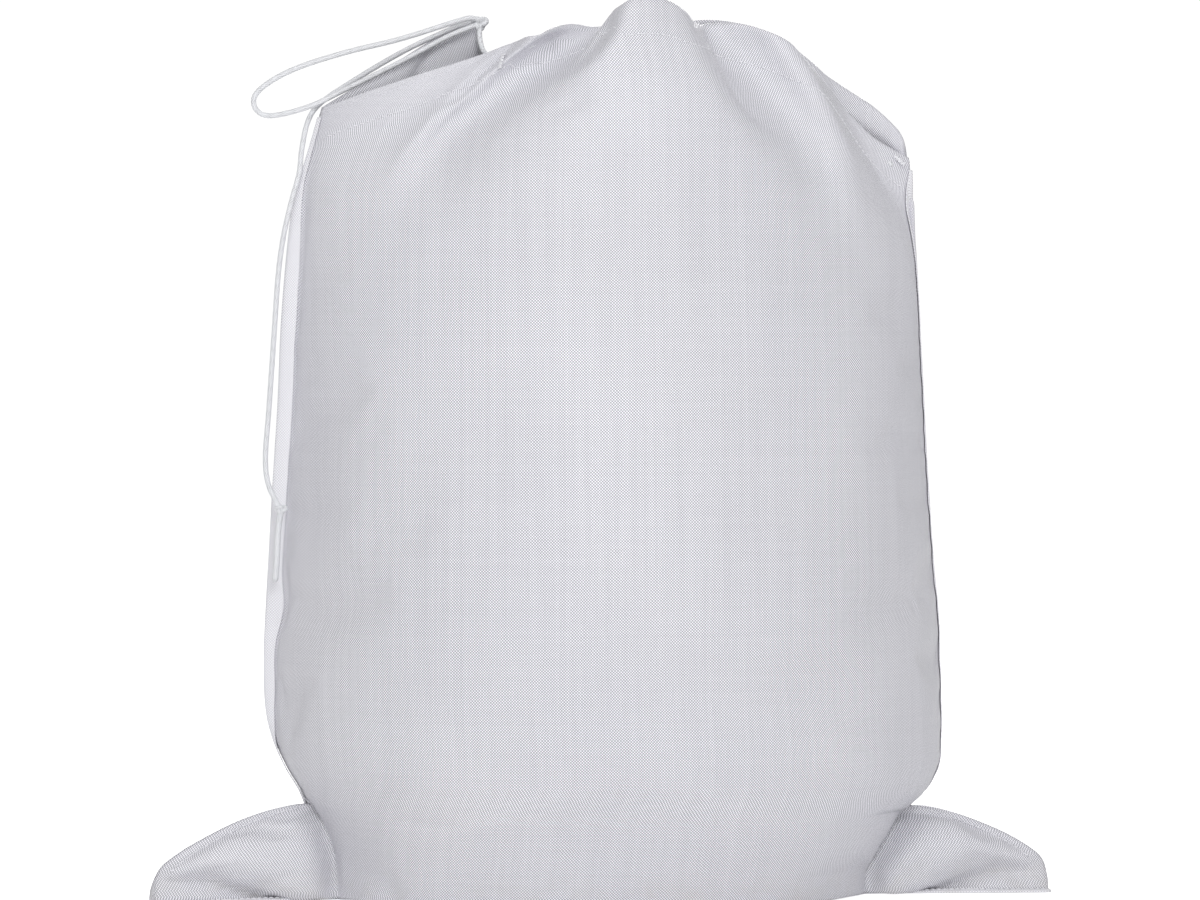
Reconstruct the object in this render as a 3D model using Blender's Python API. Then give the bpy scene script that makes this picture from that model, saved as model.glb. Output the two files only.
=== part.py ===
"""A drawstring laundry bag of fine woven mesh, filled out and standing on its base.

Frame: metres, +Z up, front towards -Y, width along X. The origin is on the
surface that the bag stands on, midway between its two bottom corners.

Two fabric panels meet at a strip of seam down each side and one along the bottom.
A casing is folded along the mouth, and one drawcord runs through both halves of it,
comes out at an opening near the left side and is knotted there into a loop and a tail.
"""

import math

import bmesh
import bpy
import numpy as np
from mathutils import Vector

# Fabric
FABRIC = 0.0015  # thickness of a panel, its coating and crimp included
SEAM_HALF_WIDTH = 0.006  # a side or bottom seam is 12 mm wide
SEAM_THICKNESS = 0.0018
GAP = 0.0003  # between pieces that touch

# The filled bag, row by row up its side:
# height at the side seam, half width, height at the middle, half depth
BELLY = (
    (0.051, 0.1640, 0.051, 0.117),
    (0.073, 0.1810, 0.075, 0.120),
    (0.100, 0.1870, 0.103, 0.122),
    (0.150, 0.1860, 0.155, 0.121),
    (0.205, 0.1830, 0.213, 0.117),
    (0.260, 0.1800, 0.272, 0.109),
    (0.310, 0.1770, 0.328, 0.097),
    (0.350, 0.1735, 0.376, 0.081),
    (0.380, 0.1690, 0.415, 0.061),
    (0.400, 0.1640, 0.446, 0.041),
    (0.414, 0.1590, 0.468, 0.025),
)
SHOULDER_POWER = 2.2  # how the mouth falls away from its middle to the side seams
LEFT_SEAM_RISE = 0.010  # the mouth starts higher on the left, where the cord lifts it
RIGHT_SEAM_DROP = 0.010
ROUNDNESS = 2.4  # power of the oval that the filled bag has in plan
SIDE_HALF_DEPTH = 0.008  # half depth right at a side seam

# The corners of the flat bag stick out as ears at the bottom:
# height, half width to the ear's edge, half width of the belly, half depth
EARS = (
    (0.012, 0.2470, 0.150, 0.101),
    (0.022, 0.2405, 0.153, 0.107),
    (0.032, 0.2270, 0.156, 0.111),
    (0.040, 0.2080, 0.159, 0.114),
    (0.046, 0.1880, 0.161, 0.116),
)
EAR_TIP = 0.2478  # half of the width across both ears
EAR_TIP_HALF_DEPTH = 0.0105
EAR_ROOT_HALF_DEPTH = 0.024
FLOOR_SHARES = (0.0, 0.25, 0.5, 0.75, 0.92, 0.985)  # rows of the base, seam to edge
EDGE_RISE = 0.0035  # height of the last of those rows, on the rounded bottom edge
COLUMNS = 34  # faces across a panel

# The casing round the mouth
CASING_HEIGHT = 0.022
CASING_DEPTH = 0.0068  # over both layers
CASING_LAYER = 0.0012
CASING_LEFT = -0.052
CASING_RIGHT = 0.148
CASING_STATIONS = 22
FLAP_LEFT = -0.136  # the short end of the casing on the other side of the opening
FLAP_RIGHT = -0.076
FLAP_LEAST_HEIGHT = 0.004
FLAP_THICKNESS = 0.0024
FLAP_STATIONS = 8

# Sewing thread
THREAD_WIDTH = 0.0011
THREAD_THICKNESS = 0.0007
BAR_TACK = (0.0085, 0.0012, 0.0026)
TACK_SHARES = (0.35, 0.55)  # where the side seam's tack lies on its topmost stretch

# The drawcord
CORD_RADIUS = 0.0015
CORD_SPACING = 0.0075
CORD_RUN_HEIGHT = 0.0150  # above the casing's stitching
KNOT_CENTRE = (-0.0665, -0.001, 0.4775)
KNOT_SIZE = (0.0090, 0.0080, 0.0105)
LOOP_ROUTE = (
    (-0.0716, -0.0040, 0.4800),
    (-0.0800, -0.0042, 0.4780),
    (-0.1100, -0.0045, 0.4685),
    (-0.1400, -0.0045, 0.4610),
    (-0.1650, -0.0045, 0.4530),
    (-0.1810, -0.0045, 0.4450),
    (-0.1895, -0.0045, 0.4370),
    (-0.1885, -0.0045, 0.4295),
    (-0.1800, -0.0045, 0.4265),
    (-0.1600, -0.0045, 0.4315),
    (-0.1400, -0.0045, 0.4410),
    (-0.1100, -0.0045, 0.4560),
    (-0.0860, -0.0042, 0.4690),
    (-0.0722, -0.0030, 0.4750),
)
TAIL_ROUTE = (
    (-0.0722, 0.0022, 0.4775),
    (-0.0850, 0.0035, 0.4730),
    (-0.1100, 0.0040, 0.4610),
    (-0.1400, 0.0040, 0.4430),
    (-0.1570, 0.0040, 0.4325),
    (-0.1665, 0.0025, 0.4190),
    (-0.1720, -0.0020, 0.4000),
    (-0.1765, -0.0065, 0.3750),
    (-0.1800, -0.0110, 0.3400),
    (-0.1850, -0.0160, 0.2900),
    (-0.1880, -0.0220, 0.2450),
    (-0.1870, -0.0275, 0.2260),
    (-0.1855, -0.0300, 0.2170),
)
STOPPER_CENTRE = (-0.1850, -0.0308, 0.2118)
STOPPER_SIZE = (0.0072, 0.0072, 0.0092)
TAIL_END_ROUTE = (
    (-0.1850, -0.0312, 0.2068),
    (-0.1858, -0.0318, 0.1980),
    (-0.1872, -0.0322, 0.1860),
    (-0.1880, -0.0326, 0.1740),
)
TAIL_END_RADIUS = 0.0018  # the braid loosens a little below the knot

FABRIC_COLOUR = (0.79, 0.79, 0.83, 1.0)
TAPE_COLOUR = (0.83, 0.83, 0.87, 1.0)
THREAD_COLOUR = (0.88, 0.88, 0.90, 1.0)
CORD_COLOUR = (0.76, 0.77, 0.80, 1.0)


def clear_scene():
    for obj in list(bpy.data.objects):
        bpy.data.objects.remove(obj, do_unlink=True)


def material(name, colour, roughness):
    made = bpy.data.materials.new(name)
    made.use_nodes = True
    shader = made.node_tree.nodes["Principled BSDF"]
    shader.inputs["Base Color"].default_value = colour
    shader.inputs["Roughness"].default_value = roughness
    shader.inputs["Metallic"].default_value = 0.0
    return made


def add_object(name, mesh, surface, smooth_angle=math.radians(40)):
    """Put a closed mesh in the scene, its faces turned outwards."""
    shape = bmesh.new()
    shape.from_mesh(mesh)
    bmesh.ops.recalc_face_normals(shape, faces=shape.faces)
    shape.to_mesh(mesh)
    shape.free()
    mesh.shade_smooth()
    mesh.set_sharp_from_angle(angle=smooth_angle)
    mesh.materials.append(surface)
    obj = bpy.data.objects.new(name, mesh)
    bpy.context.collection.objects.link(obj)
    return obj


def tube_mesh(name, sections):
    """A closed solid through a row of closed sections of equal point counts."""
    count = len(sections[0])
    points = [point for section in sections for point in section]
    faces = [tuple(range(count)), tuple((len(sections) - 1) * count + i for i in range(count))]
    for row in range(len(sections) - 1):
        for i in range(count):
            j = (i + 1) % count
            faces.append((row * count + i, row * count + j, (row + 1) * count + j, (row + 1) * count + i))
    mesh = bpy.data.meshes.new(name)
    mesh.from_pydata([tuple(point) for point in points], [], faces)
    return mesh


def smooth_route(points, spacing):
    """Evenly spaced points on a smooth curve through a route's own points."""
    knots = [Vector(point) for point in points]
    padded = [2 * knots[0] - knots[1], *knots, 2 * knots[-1] - knots[-2]]
    dense = []
    for before, start, end, after in zip(padded, padded[1:], padded[2:], padded[3:]):
        for step in range(24):
            t = step / 24
            dense.append(
                0.5
                * (
                    2 * start
                    + (end - before) * t
                    + (2 * before - 5 * start + 4 * end - after) * t**2
                    + (3 * start - before - 3 * end + after) * t**3
                )
            )
    dense.append(knots[-1])
    return evenly(np.array(dense), spacing=spacing)


def evenly(points, count=None, spacing=None):
    """Points at equal steps along a polyline, given their count or their spacing."""
    steps = np.linalg.norm(np.diff(points, axis=0), axis=1)
    along = np.concatenate(([0.0], np.cumsum(steps)))
    if count is None:
        count = max(3, round(along[-1] / spacing) + 1)
    wanted = np.linspace(0.0, along[-1], count)
    return np.array([np.interp(wanted, along, points[:, axis]) for axis in range(3)]).T


def oval_half_depth(across, half_depth):
    """Half depth of the filled bag at a share of its half width."""
    share = np.clip(1 - np.abs(across) ** ROUNDNESS, 0.0, 1.0)
    return SIDE_HALF_DEPTH + (half_depth - SIDE_HALF_DEPTH) * np.sqrt(share)


def even_row(x, y, z):
    """One row of a front panel, from the left seam's edge to the right one."""
    edge = SEAM_HALF_WIDTH + GAP
    x = np.concatenate(([x[0]], x, [x[-1]]))
    y = np.concatenate(([edge], np.maximum(y, edge + 0.0005), [edge]))
    z = np.concatenate(([z[0]], z, [z[-1]]))
    return evenly(np.array([x, -y, z]).T, count=COLUMNS + 1)


def belly_row(row):
    side_height, half_width, middle_height, half_depth = row
    across = np.sin(np.linspace(-math.pi / 2, math.pi / 2, 241))
    lift = (side_height - BELLY[0][0]) / (BELLY[-1][0] - BELLY[0][0])
    side = side_height + np.where(across < 0, LEFT_SEAM_RISE, -RIGHT_SEAM_DROP) * lift**3
    fall = np.abs(across) ** SHOULDER_POWER
    z = middle_height + (side - middle_height) * fall
    return even_row(half_width * across, oval_half_depth(across, half_depth), z)


def ear_row(row):
    height, ear_half_width, half_width, half_depth = row
    across = np.sin(np.linspace(-math.pi / 2, math.pi / 2, 721))
    x = ear_half_width * across
    out = np.clip((np.abs(x) - half_width) / (ear_half_width - half_width), 0.0, 1.0)
    ear = EAR_ROOT_HALF_DEPTH + (EAR_TIP_HALF_DEPTH - EAR_ROOT_HALF_DEPTH) * out
    belly = oval_half_depth(np.clip(x / half_width, -1.0, 1.0), half_depth)
    belly = np.where(np.abs(x) < half_width, belly, 0.0)
    return even_row(x, np.maximum(belly, ear), np.full_like(x, height))


def floor_rows(first_row):
    """The base of a front panel: rows from the bottom seam out to its rounded edge."""
    edge = SEAM_HALF_WIDTH + GAP
    rows = []
    for number, share in enumerate(FLOOR_SHARES):
        row = first_row.copy()
        row[:, 1] = -(edge + (-first_row[:, 1] - edge) * share)
        row[:, 2] = EDGE_RISE if number == len(FLOOR_SHARES) - 1 else 0.0
        for end in (0, -1):
            row[end, 0] = math.copysign(EAR_TIP, row[end, 0])
            row[end, 2] = first_row[end, 2] * number / len(FLOOR_SHARES)
        rows.append(row)
    return rows


def front_grid():
    """The outer face of the front panel: rows upwards, columns from left to right."""
    ears = [ear_row(row) for row in EARS]
    return np.array(floor_rows(ears[0]) + ears + [belly_row(row) for row in BELLY])


def grid_normals(grid):
    """Outward unit normals of a front panel's grid."""
    across = np.gradient(grid, axis=1)
    upwards = np.gradient(grid, axis=0)
    normals = np.cross(across, upwards)
    return normals / np.linalg.norm(normals, axis=2, keepdims=True)


def inner_grid(grid, thickness):
    """A panel's inner face. Its edges stay in the planes of the seams that they meet."""
    outwards = grid_normals(grid)
    down = np.array([0.0, 0.0, -1.0])
    outwards[0] = down
    for column, side in ((0, -1), (-1, 1)):
        outwards[:, column] = -seam_inwards(side_line(grid, side), side)
        outwards[0, column] += down
    return grid - outwards * thickness


def panel_mesh(name, grid, side):
    """A thin shell between a panel's outer and inner faces. side is 1 in front, -1 behind."""
    rows, columns = grid.shape[:2]
    outer = grid * (1, side, 1)
    inner = inner_grid(grid, FABRIC) * (1, side, 1)
    points = np.concatenate((outer.reshape(-1, 3), inner.reshape(-1, 3)))
    under = rows * columns

    def at(row, column):
        return row * columns + column

    faces = []
    for row in range(rows - 1):
        for column in range(columns - 1):
            quad = (at(row, column), at(row, column + 1), at(row + 1, column + 1), at(row + 1, column))
            faces.append(quad)
            faces.append(tuple(under + corner for corner in reversed(quad)))
    rim = [at(0, column) for column in range(columns)]
    rim += [at(row, columns - 1) for row in range(1, rows)]
    rim += [at(rows - 1, column) for column in range(columns - 2, -1, -1)]
    rim += [at(row, 0) for row in range(rows - 2, 0, -1)]
    for first, second in zip(rim, rim[1:] + rim[:1]):
        faces.append((second, first, under + first, under + second))
    mesh = bpy.data.meshes.new(name)
    mesh.from_pydata(points.tolist(), [], faces)
    return mesh


def seam_inwards(line, side):
    """Unit normals of a side seam's line, in the XZ plane and towards the bag's inside."""
    along = np.gradient(line, axis=0)
    inwards = np.array([-along[:, 2], np.zeros(len(line)), along[:, 0]]).T * side
    return inwards / np.linalg.norm(inwards, axis=1, keepdims=True)


def strip_sections(line, inwards, thickness, half_width, offset=0.0):
    """Sections of a flat strip whose outer face follows a line in the XZ plane."""
    sections = []
    for point, normal in zip(line, inwards):
        outer = point + normal * offset
        inner = point + normal * (offset + thickness)
        sections.append(
            [
                (outer[0], -half_width, outer[2]),
                (outer[0], half_width, outer[2]),
                (inner[0], half_width, inner[2]),
                (inner[0], -half_width, inner[2]),
            ]
        )
    return sections


def side_line(grid, side):
    """The edge of the panels at one side, from the ear's tip up to the casing."""
    column = grid[:, 0 if side < 0 else -1]
    line = column.copy()
    line[:, 1] = 0.0
    return line


def mouth_line(grid):
    """The top edge of the front panel's outer face."""
    return grid[-1]


def along_mouth(mouth, x):
    """The point on the mouth at a given x, and the direction across the casing there."""
    def at(position):
        return np.array(
            [position, np.interp(position, mouth[:, 0], mouth[:, 1]), np.interp(position, mouth[:, 0], mouth[:, 2])]
        )

    reach = 0.012
    along = at(x + reach) - at(x - reach)
    up = np.array([-along[2], 0.0, along[0]])
    return at(x), up / np.linalg.norm(up)


def casing_sections(mouth, side):
    """A folded casing, open below between its two layers."""
    sections = []
    depth = CASING_DEPTH
    layer = CASING_LAYER
    profile = (
        (0.0, GAP),
        (0.0, CASING_HEIGHT - 0.003),
        (depth / 2, CASING_HEIGHT),
        (depth, CASING_HEIGHT - 0.003),
        (depth, GAP),
        (depth - layer, GAP),
        (depth - layer, CASING_HEIGHT - 0.0036),
        (depth / 2, CASING_HEIGHT - 0.0014),
        (layer, CASING_HEIGHT - 0.0036),
        (layer, GAP),
    )
    for x in np.linspace(CASING_LEFT, CASING_RIGHT, CASING_STATIONS):
        point, up = along_mouth(mouth, x)
        section = []
        for inwards, rise in profile:
            corner = point + up * rise
            section.append((corner[0], side * (corner[1] + inwards), corner[2]))
        sections.append(section)
    return sections


def flap_sections(mouth):
    """The casing's short left end, which stands up behind the opening."""
    sections = []
    for share in np.linspace(0.0, 1.0, FLAP_STATIONS):
        point, up = along_mouth(mouth, FLAP_LEFT + (FLAP_RIGHT - FLAP_LEFT) * share)
        top = FLAP_LEAST_HEIGHT + (CASING_HEIGHT - FLAP_LEAST_HEIGHT) * share
        section = []
        for inwards, rise in ((0.0, GAP), (0.0, top), (FLAP_THICKNESS, top), (FLAP_THICKNESS, GAP)):
            corner = point + up * rise
            section.append((corner[0], -(corner[1] + inwards), corner[2]))
        sections.append(section)
    return sections


def casing_stitching_sections(mouth, side):
    """The line of thread that holds the casing down, on its outer layer."""
    sections = []
    rise = 0.0020
    for x in np.linspace(CASING_LEFT + 0.001, CASING_RIGHT - 0.001, CASING_STATIONS):
        point, up = along_mouth(mouth, x)
        section = []
        for outwards, height in (
            (GAP, rise),
            (GAP + THREAD_THICKNESS, rise),
            (GAP + THREAD_THICKNESS, rise + THREAD_WIDTH),
            (GAP, rise + THREAD_WIDTH),
        ):
            corner = point + up * height
            section.append((corner[0], side * (corner[1] - outwards), corner[2]))
        sections.append(section)
    return sections


def box_mesh(name, centre, size):
    shape = bmesh.new()
    bmesh.ops.create_cube(shape, size=1.0)
    bmesh.ops.scale(shape, vec=Vector(size), verts=shape.verts)
    bmesh.ops.translate(shape, vec=Vector(centre), verts=shape.verts)
    mesh = bpy.data.meshes.new(name)
    shape.to_mesh(mesh)
    shape.free()
    return mesh


def knot_mesh(name, centre, size):
    shape = bmesh.new()
    bmesh.ops.create_uvsphere(shape, u_segments=12, v_segments=8, radius=0.5)
    bmesh.ops.scale(shape, vec=Vector(size), verts=shape.verts)
    bmesh.ops.translate(shape, vec=Vector(centre), verts=shape.verts)
    mesh = bpy.data.meshes.new(name)
    shape.to_mesh(mesh)
    shape.free()
    return mesh


def add_cord(name, points, radius, surface):
    curve = bpy.data.curves.new(name, "CURVE")
    curve.dimensions = "3D"
    curve.bevel_depth = radius
    curve.bevel_resolution = 2
    curve.use_fill_caps = True
    spline = curve.splines.new("POLY")
    spline.points.add(len(points) - 1)
    for place, point in zip(spline.points, points):
        place.co = (*point, 1.0)
    curve.materials.append(surface)
    obj = bpy.data.objects.new(name, curve)
    bpy.context.collection.objects.link(obj)
    return obj


def cord_run(mouth, side):
    """The drawcord inside one half of the casing, from the knot to the far side."""
    height = KNOT_CENTRE[2] - 0.0005
    points = [(-0.0645, -0.0076, height), (-0.0625, -0.0132, height), (-0.0582, -0.0186, height)]
    for x in np.linspace(CASING_LEFT + 0.003, CASING_RIGHT - 0.002, 16):
        point, up = along_mouth(mouth, x)
        on_cord = point + up * CORD_RUN_HEIGHT
        points.append((on_cord[0], on_cord[1] + CASING_DEPTH / 2, on_cord[2]))
    return smooth_route(points, CORD_SPACING) * (1, side, 1)


def cord_turn(mouth):
    """Where the drawcord passes the right side seam from the front casing to the back."""
    point, up = along_mouth(mouth, CASING_RIGHT - 0.002)
    end = point + up * CORD_RUN_HEIGHT
    start_y = end[1] + CASING_DEPTH / 2
    along = np.array([up[2], 0.0, -up[0]])
    points = []
    for angle in np.linspace(-math.pi / 2, math.pi / 2, 11):
        place = end + along * (0.0022 + 0.0045 * math.cos(angle))
        points.append((place[0], abs(start_y) * math.sin(angle), place[2]))
    return np.array(points)


def build():
    clear_scene()
    fabric = material("white_mesh_fabric", FABRIC_COLOUR, 0.62)
    tape = material("seam_fabric", TAPE_COLOUR, 0.66)
    thread = material("sewing_thread", THREAD_COLOUR, 0.50)
    cord = material("braided_cord", CORD_COLOUR, 0.48)

    grid = front_grid()
    mouth = mouth_line(grid)
    for name, side in (("front", 1), ("back", -1)):
        add_object(f"{name}_panel", panel_mesh(f"{name}_panel", grid, side), fabric)
        casing = tube_mesh(f"{name}_casing", casing_sections(mouth, side))
        add_object(f"{name}_casing", casing, fabric)
        line = tube_mesh(f"{name}_casing_stitching", casing_stitching_sections(mouth, side))
        add_object(f"{name}_casing_stitching", line, thread)
        add_cord(f"drawcord_{name}_run", cord_run(mouth, side), CORD_RADIUS, cord)
        point, up = along_mouth(mouth, CASING_LEFT + 0.006)
        centre = point + up * 0.0075
        tack_y = side * (centre[1] - GAP - BAR_TACK[1] / 2 - 0.0006)
        tack = box_mesh(f"{name}_opening_bar_tack", (centre[0], tack_y, centre[2]), BAR_TACK)
        add_object(f"{name}_opening_bar_tack", tack, thread)
    add_object("casing_flap", tube_mesh("casing_flap", flap_sections(mouth)), fabric)

    for name, side in (("left", -1), ("right", 1)):
        line = side_line(grid, side)
        inwards = seam_inwards(line, side)
        sections = strip_sections(line, inwards, SEAM_THICKNESS, SEAM_HALF_WIDTH)
        add_object(f"{name}_side_seam", tube_mesh(f"{name}_side_seam", sections), tape)
        thread_offset = -(GAP + THREAD_THICKNESS)
        upper = slice(len(FLOOR_SHARES) + 1, -1)
        sections = strip_sections(
            line[upper], inwards[upper], THREAD_THICKNESS, THREAD_WIDTH / 2, thread_offset
        )
        stitching = tube_mesh(f"{name}_side_stitching", sections)
        add_object(f"{name}_side_stitching", stitching, thread)

    bottom_end = EAR_TIP - 0.004
    bottom_size = (2 * bottom_end, 2 * SEAM_HALF_WIDTH, SEAM_THICKNESS)
    bottom = box_mesh("bottom_seam", (0.0, 0.0, SEAM_THICKNESS / 2), bottom_size)
    add_object("bottom_seam", bottom, tape)
    for name, side in (("front", -1), ("back", 1)):
        centre = (0.0, side * 0.0035, SEAM_THICKNESS + GAP + THREAD_THICKNESS / 2)
        size = (2 * bottom_end - 0.004, THREAD_WIDTH, THREAD_THICKNESS)
        row = box_mesh(f"bottom_stitching_{name}_row", centre, size)
        add_object(f"bottom_stitching_{name}_row", row, thread)

    line = side_line(grid, 1)[-2:]
    ends = np.array([line[0] + (line[1] - line[0]) * share for share in TACK_SHARES])
    tack_offset = -(GAP + BAR_TACK[1])
    sections = strip_sections(ends, seam_inwards(ends, 1), BAR_TACK[1], BAR_TACK[0] / 2, tack_offset)
    add_object("right_seam_bar_tack", tube_mesh("right_seam_bar_tack", sections), thread)

    add_cord("drawcord_turn", cord_turn(mouth), CORD_RADIUS, cord)
    add_object("opening_knot", knot_mesh("opening_knot", KNOT_CENTRE, KNOT_SIZE), cord)
    add_cord("drawcord_loop", smooth_route(LOOP_ROUTE, 0.0055), CORD_RADIUS, cord)
    add_cord("drawcord_tail", smooth_route(TAIL_ROUTE, 0.0075), CORD_RADIUS, cord)
    add_object("stopper_knot", knot_mesh("stopper_knot", STOPPER_CENTRE, STOPPER_SIZE), cord)
    add_cord("tail_end", smooth_route(TAIL_END_ROUTE, 0.0050), TAIL_END_RADIUS, cord)


build()
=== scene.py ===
"""Looks of a drawstring laundry bag of fine woven mesh, filled out and standing on its base.

Metres, +Z up, front towards -Y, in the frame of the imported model.
"""

import math

import bmesh
import bpy
import numpy as np
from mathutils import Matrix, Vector


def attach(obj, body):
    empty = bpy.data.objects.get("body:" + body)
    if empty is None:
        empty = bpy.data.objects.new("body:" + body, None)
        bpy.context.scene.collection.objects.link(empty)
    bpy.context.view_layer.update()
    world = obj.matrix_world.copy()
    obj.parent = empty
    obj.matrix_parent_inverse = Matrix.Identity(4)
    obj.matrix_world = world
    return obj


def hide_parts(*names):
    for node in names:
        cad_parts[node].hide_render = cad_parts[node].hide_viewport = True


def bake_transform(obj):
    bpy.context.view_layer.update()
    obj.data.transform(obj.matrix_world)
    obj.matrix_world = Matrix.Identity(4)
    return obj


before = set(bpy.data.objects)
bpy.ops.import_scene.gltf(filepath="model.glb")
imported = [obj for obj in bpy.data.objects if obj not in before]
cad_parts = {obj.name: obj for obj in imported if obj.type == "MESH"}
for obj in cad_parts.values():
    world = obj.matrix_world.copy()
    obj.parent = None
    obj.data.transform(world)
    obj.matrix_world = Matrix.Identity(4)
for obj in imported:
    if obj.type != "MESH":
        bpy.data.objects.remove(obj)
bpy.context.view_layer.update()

# ---- sizes ----


def in_mm(*points):
    """Points given in millimetres."""
    return tuple(tuple(round(value / 1000, 7) for value in point) for point in points)


# The side edges of the filled bag, from the tip of the ear at the floor up to the mouth (x, z).
# Each has two stretches, which meet in the corner where the ear leaves the side.
LEFT_EAR = in_mm(
    (-248.2, 1), (-247.4, 8), (-244, 16.5), (-239.5, 22), (-227, 30.5), (-205, 41.5), (-187, 47.8), (-171, 51.2),
    (-162, 52),
)
LEFT_SIDE = in_mm(
    (-162, 52), (-165.5, 60.5), (-172, 71), (-179.2, 87.5), (-183, 105), (-183.8, 133), (-182.5, 160),
    (-178.7, 227), (-176, 270), (-174.3, 310), (-171.2, 350), (-167.2, 382), (-161.5, 402), (-157, 418),
    (-153, 433),
)
RIGHT_EAR = in_mm(
    (248.2, 1), (247.5, 9), (243.2, 20), (227, 31), (208, 39.5), (191.7, 45), (178.5, 47.8), (169, 47),
)
RIGHT_SIDE = in_mm(
    (169, 47), (178.5, 55), (184.8, 63.5), (188.6, 74), (189.3, 99.6), (188.5, 130), (187.6, 153), (184.8, 183),
    (181.5, 230), (179.3, 271), (177.2, 310), (175, 350), (172.4, 380), (171.4, 393), (170.5, 405),
)
MIDDLE_TOP = 0.474

# The belly: half depth against the height at the middle of the bag
HALF_DEPTH = in_mm(
    (0, 112), (50, 117.5), (100, 120.5), (155, 120), (213, 116), (272, 108), (328, 96), (376, 80), (415, 62),
    (446, 46), (474, 33),
)
# Half width of the belly below the corner of the ears, against height, left and right
LEFT_FOOT = in_mm((0, 147), (20, 148.5), (32, 152.5), (42, 157), (52, 160.5))
RIGHT_FOOT = in_mm((0, 146.5), (12, 148), (21, 154.5), (29, 160), (37, 164), (47, 167))
UNDERCUT = 0.02  # how far the base steps in under the belly at its middle
RIDGE_HEIGHT = 0.074  # where it starts to step in, at the middle
RIDGE_FOOT = 0.012  # and beside the ears

# The top fold of the casing round the mouth, from the left side seam to the right one
FRONT_RIM = in_mm(
    (-153, -3, 433), (-145, -10, 435.5), (-133, -16, 440), (-118, -21, 445), (-100, -25, 451), (-82, -27, 456.5),
    (-66, -29, 462), (-51, -32, 467.5), (-38, -29, 470.5), (-29, -23, 473.5), (-18, -17, 476.5), (-6, -16, 476.5),
    (4, -21, 478.5), (6.5, -29, 480), (2, -36, 482), (2.5, -43, 485), (9.5, -48, 488.6), (20, -49, 489.6),
    (31, -46, 488), (41.5, -40, 483), (49.5, -29, 477.8), (60, -24, 477.8), (74, -27, 476.8), (89, -33, 472),
    (102, -32, 466), (113, -24, 456), (124, -16, 444), (136, -10, 430), (149, -6, 417.5), (159, -4, 411),
    (170.5, -2, 405),
)
BACK_RIM = in_mm(
    (-153, 3, 433), (-144, 6, 438.5), (-125, 9, 450), (-105, 10, 462.5), (-88, 10, 473.5), (-76, 10, 482.5),
    (-70, 10, 481.5), (-66.2, 10, 474), (-64, 12, 466), (-59, 18, 462), (-50, 29, 464), (-35, 33, 469),
    (-15, 38, 473), (5, 34, 474.5), (20, 25, 475), (35, 20, 476.5), (52, 23, 480.5), (68, 18, 481.2), (83, 2, 478),
    (99, -12, 468), (113, -8, 457), (123.5, -2, 449.2), (138.5, 3, 440.2), (150, 5, 433.5), (160.5, 5, 425),
    (168, 4, 416.5), (170.5, 3, 405),
)
GATHER_REACH = 0.125  # how far down from the mouth its folds can be felt
GATHER_SPREAD = 26.0  # how fast they widen on the way
SIDE_HOLD = 85.0  # columns beside a side seam over which they give way to the seam
MAIN_FOLD = 0.545  # where the largest fold is, as a share of the front panel's width

# Folds of the front panel: line across and up, side that stands forward (1 left of the line's
# direction, -1 right), height at its two ends, roundness of the near and the far side, their reach
FRONT_FOLDS = (
    (in_mm((51, 484), (56, 469), (63, 453), (73, 433), (86, 419), (99, 410)),
     -1, (0.011, 0.0002), (0.007, 0.0014), (0.034, 0.03)),
    (in_mm((-34, 473), (-46, 463), (-61, 449), (-77, 434), (-90, 429)),
     1, (0.0085, 0.0002), (0.0022, 0.0014), (0.028, 0.03)),
    (in_mm((8, 486), (5, 472), (-2, 461.5), (-11, 452.5), (-21, 446), (-32, 446)),
     1, (0.012, 0.0004), (0.0022, 0.0014), (0.03, 0.016)),
    (in_mm((184, 50), (194, 42), (204, 34), (214, 27)),
     -1, (0.004, 0.0002), (0.0016, 0.003), (0.016, 0.012)),
)
FRONT_DENTS = (
    (0.114, 0.12, 0.038, 0.016, -12, 0.0052), (0.15, 0.16, 0.024, 0.014, 15, 0.0026),
    (0.154, 0.249, 0.012, 0.016, 0, 0.0016), (0.166, 0.32, 0.01, 0.014, 0, 0.0016),
    (-0.019, 0.429, 0.01, 0.004, 20, 0.0022), (-0.163, 0.205, 0.007, 0.02, 0, 0.003),
    (-0.06, 0.26, 0.035, 0.08, 10, 0.0018), (0.07, 0.33, 0.045, 0.05, -20, 0.0016),
)

# How much of the left side's doubled edge shows, against height
LEFT_EDGE = in_mm(
    (50, 1), (85, 1.2), (93.5, 3.4), (112, 5.8), (135, 6.2), (158, 9.8), (178, 8), (268, 8.6), (350, 8), (380, 5.4),
    (400, 3), (433, 2),
)
TURN_BACK = 0.01  # the right side's doubled edge lies back against the bag
LEFT_EAR_SWING = -0.024
RIGHT_EAR_SWING = -0.004
FLOOR_ROWS = 12
EAR_ROWS = 34
SIDE_ROWS = 140
COLUMNS = 224
ROW_STEPS = np.linspace(0.0, 1.0, SIDE_ROWS + 1)
ROW_SHARES = 0.45 * ROW_STEPS + 0.55 * (1 - (1 - ROW_STEPS) ** 2)  # rows up the side lie closer near the mouth

BACK_DENTS = ((-0.108, 0.428, 0.045, 0.022, 18, -0.014),)  # lets the short end of the casing stand upright

# Settling as cloth: rows and columns skipped, frames, and the furthest that a point may move
SIM_STEP = 2
SIM_FRAMES = 24
MOST_MOVE = 0.005
CLOTH_SETTINGS = dict(
    quality=6, mass=0.15, tension_stiffness=25, compression_stiffness=20, shear_stiffness=12, bending_stiffness=1.5,
    tension_damping=8, compression_damping=8, shear_damping=8, air_damping=4, use_pressure=True,
    uniform_pressure_force=2.5, vertex_group_mass="held", shrink_min=-0.012, shrink_max=-0.012,
)

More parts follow.
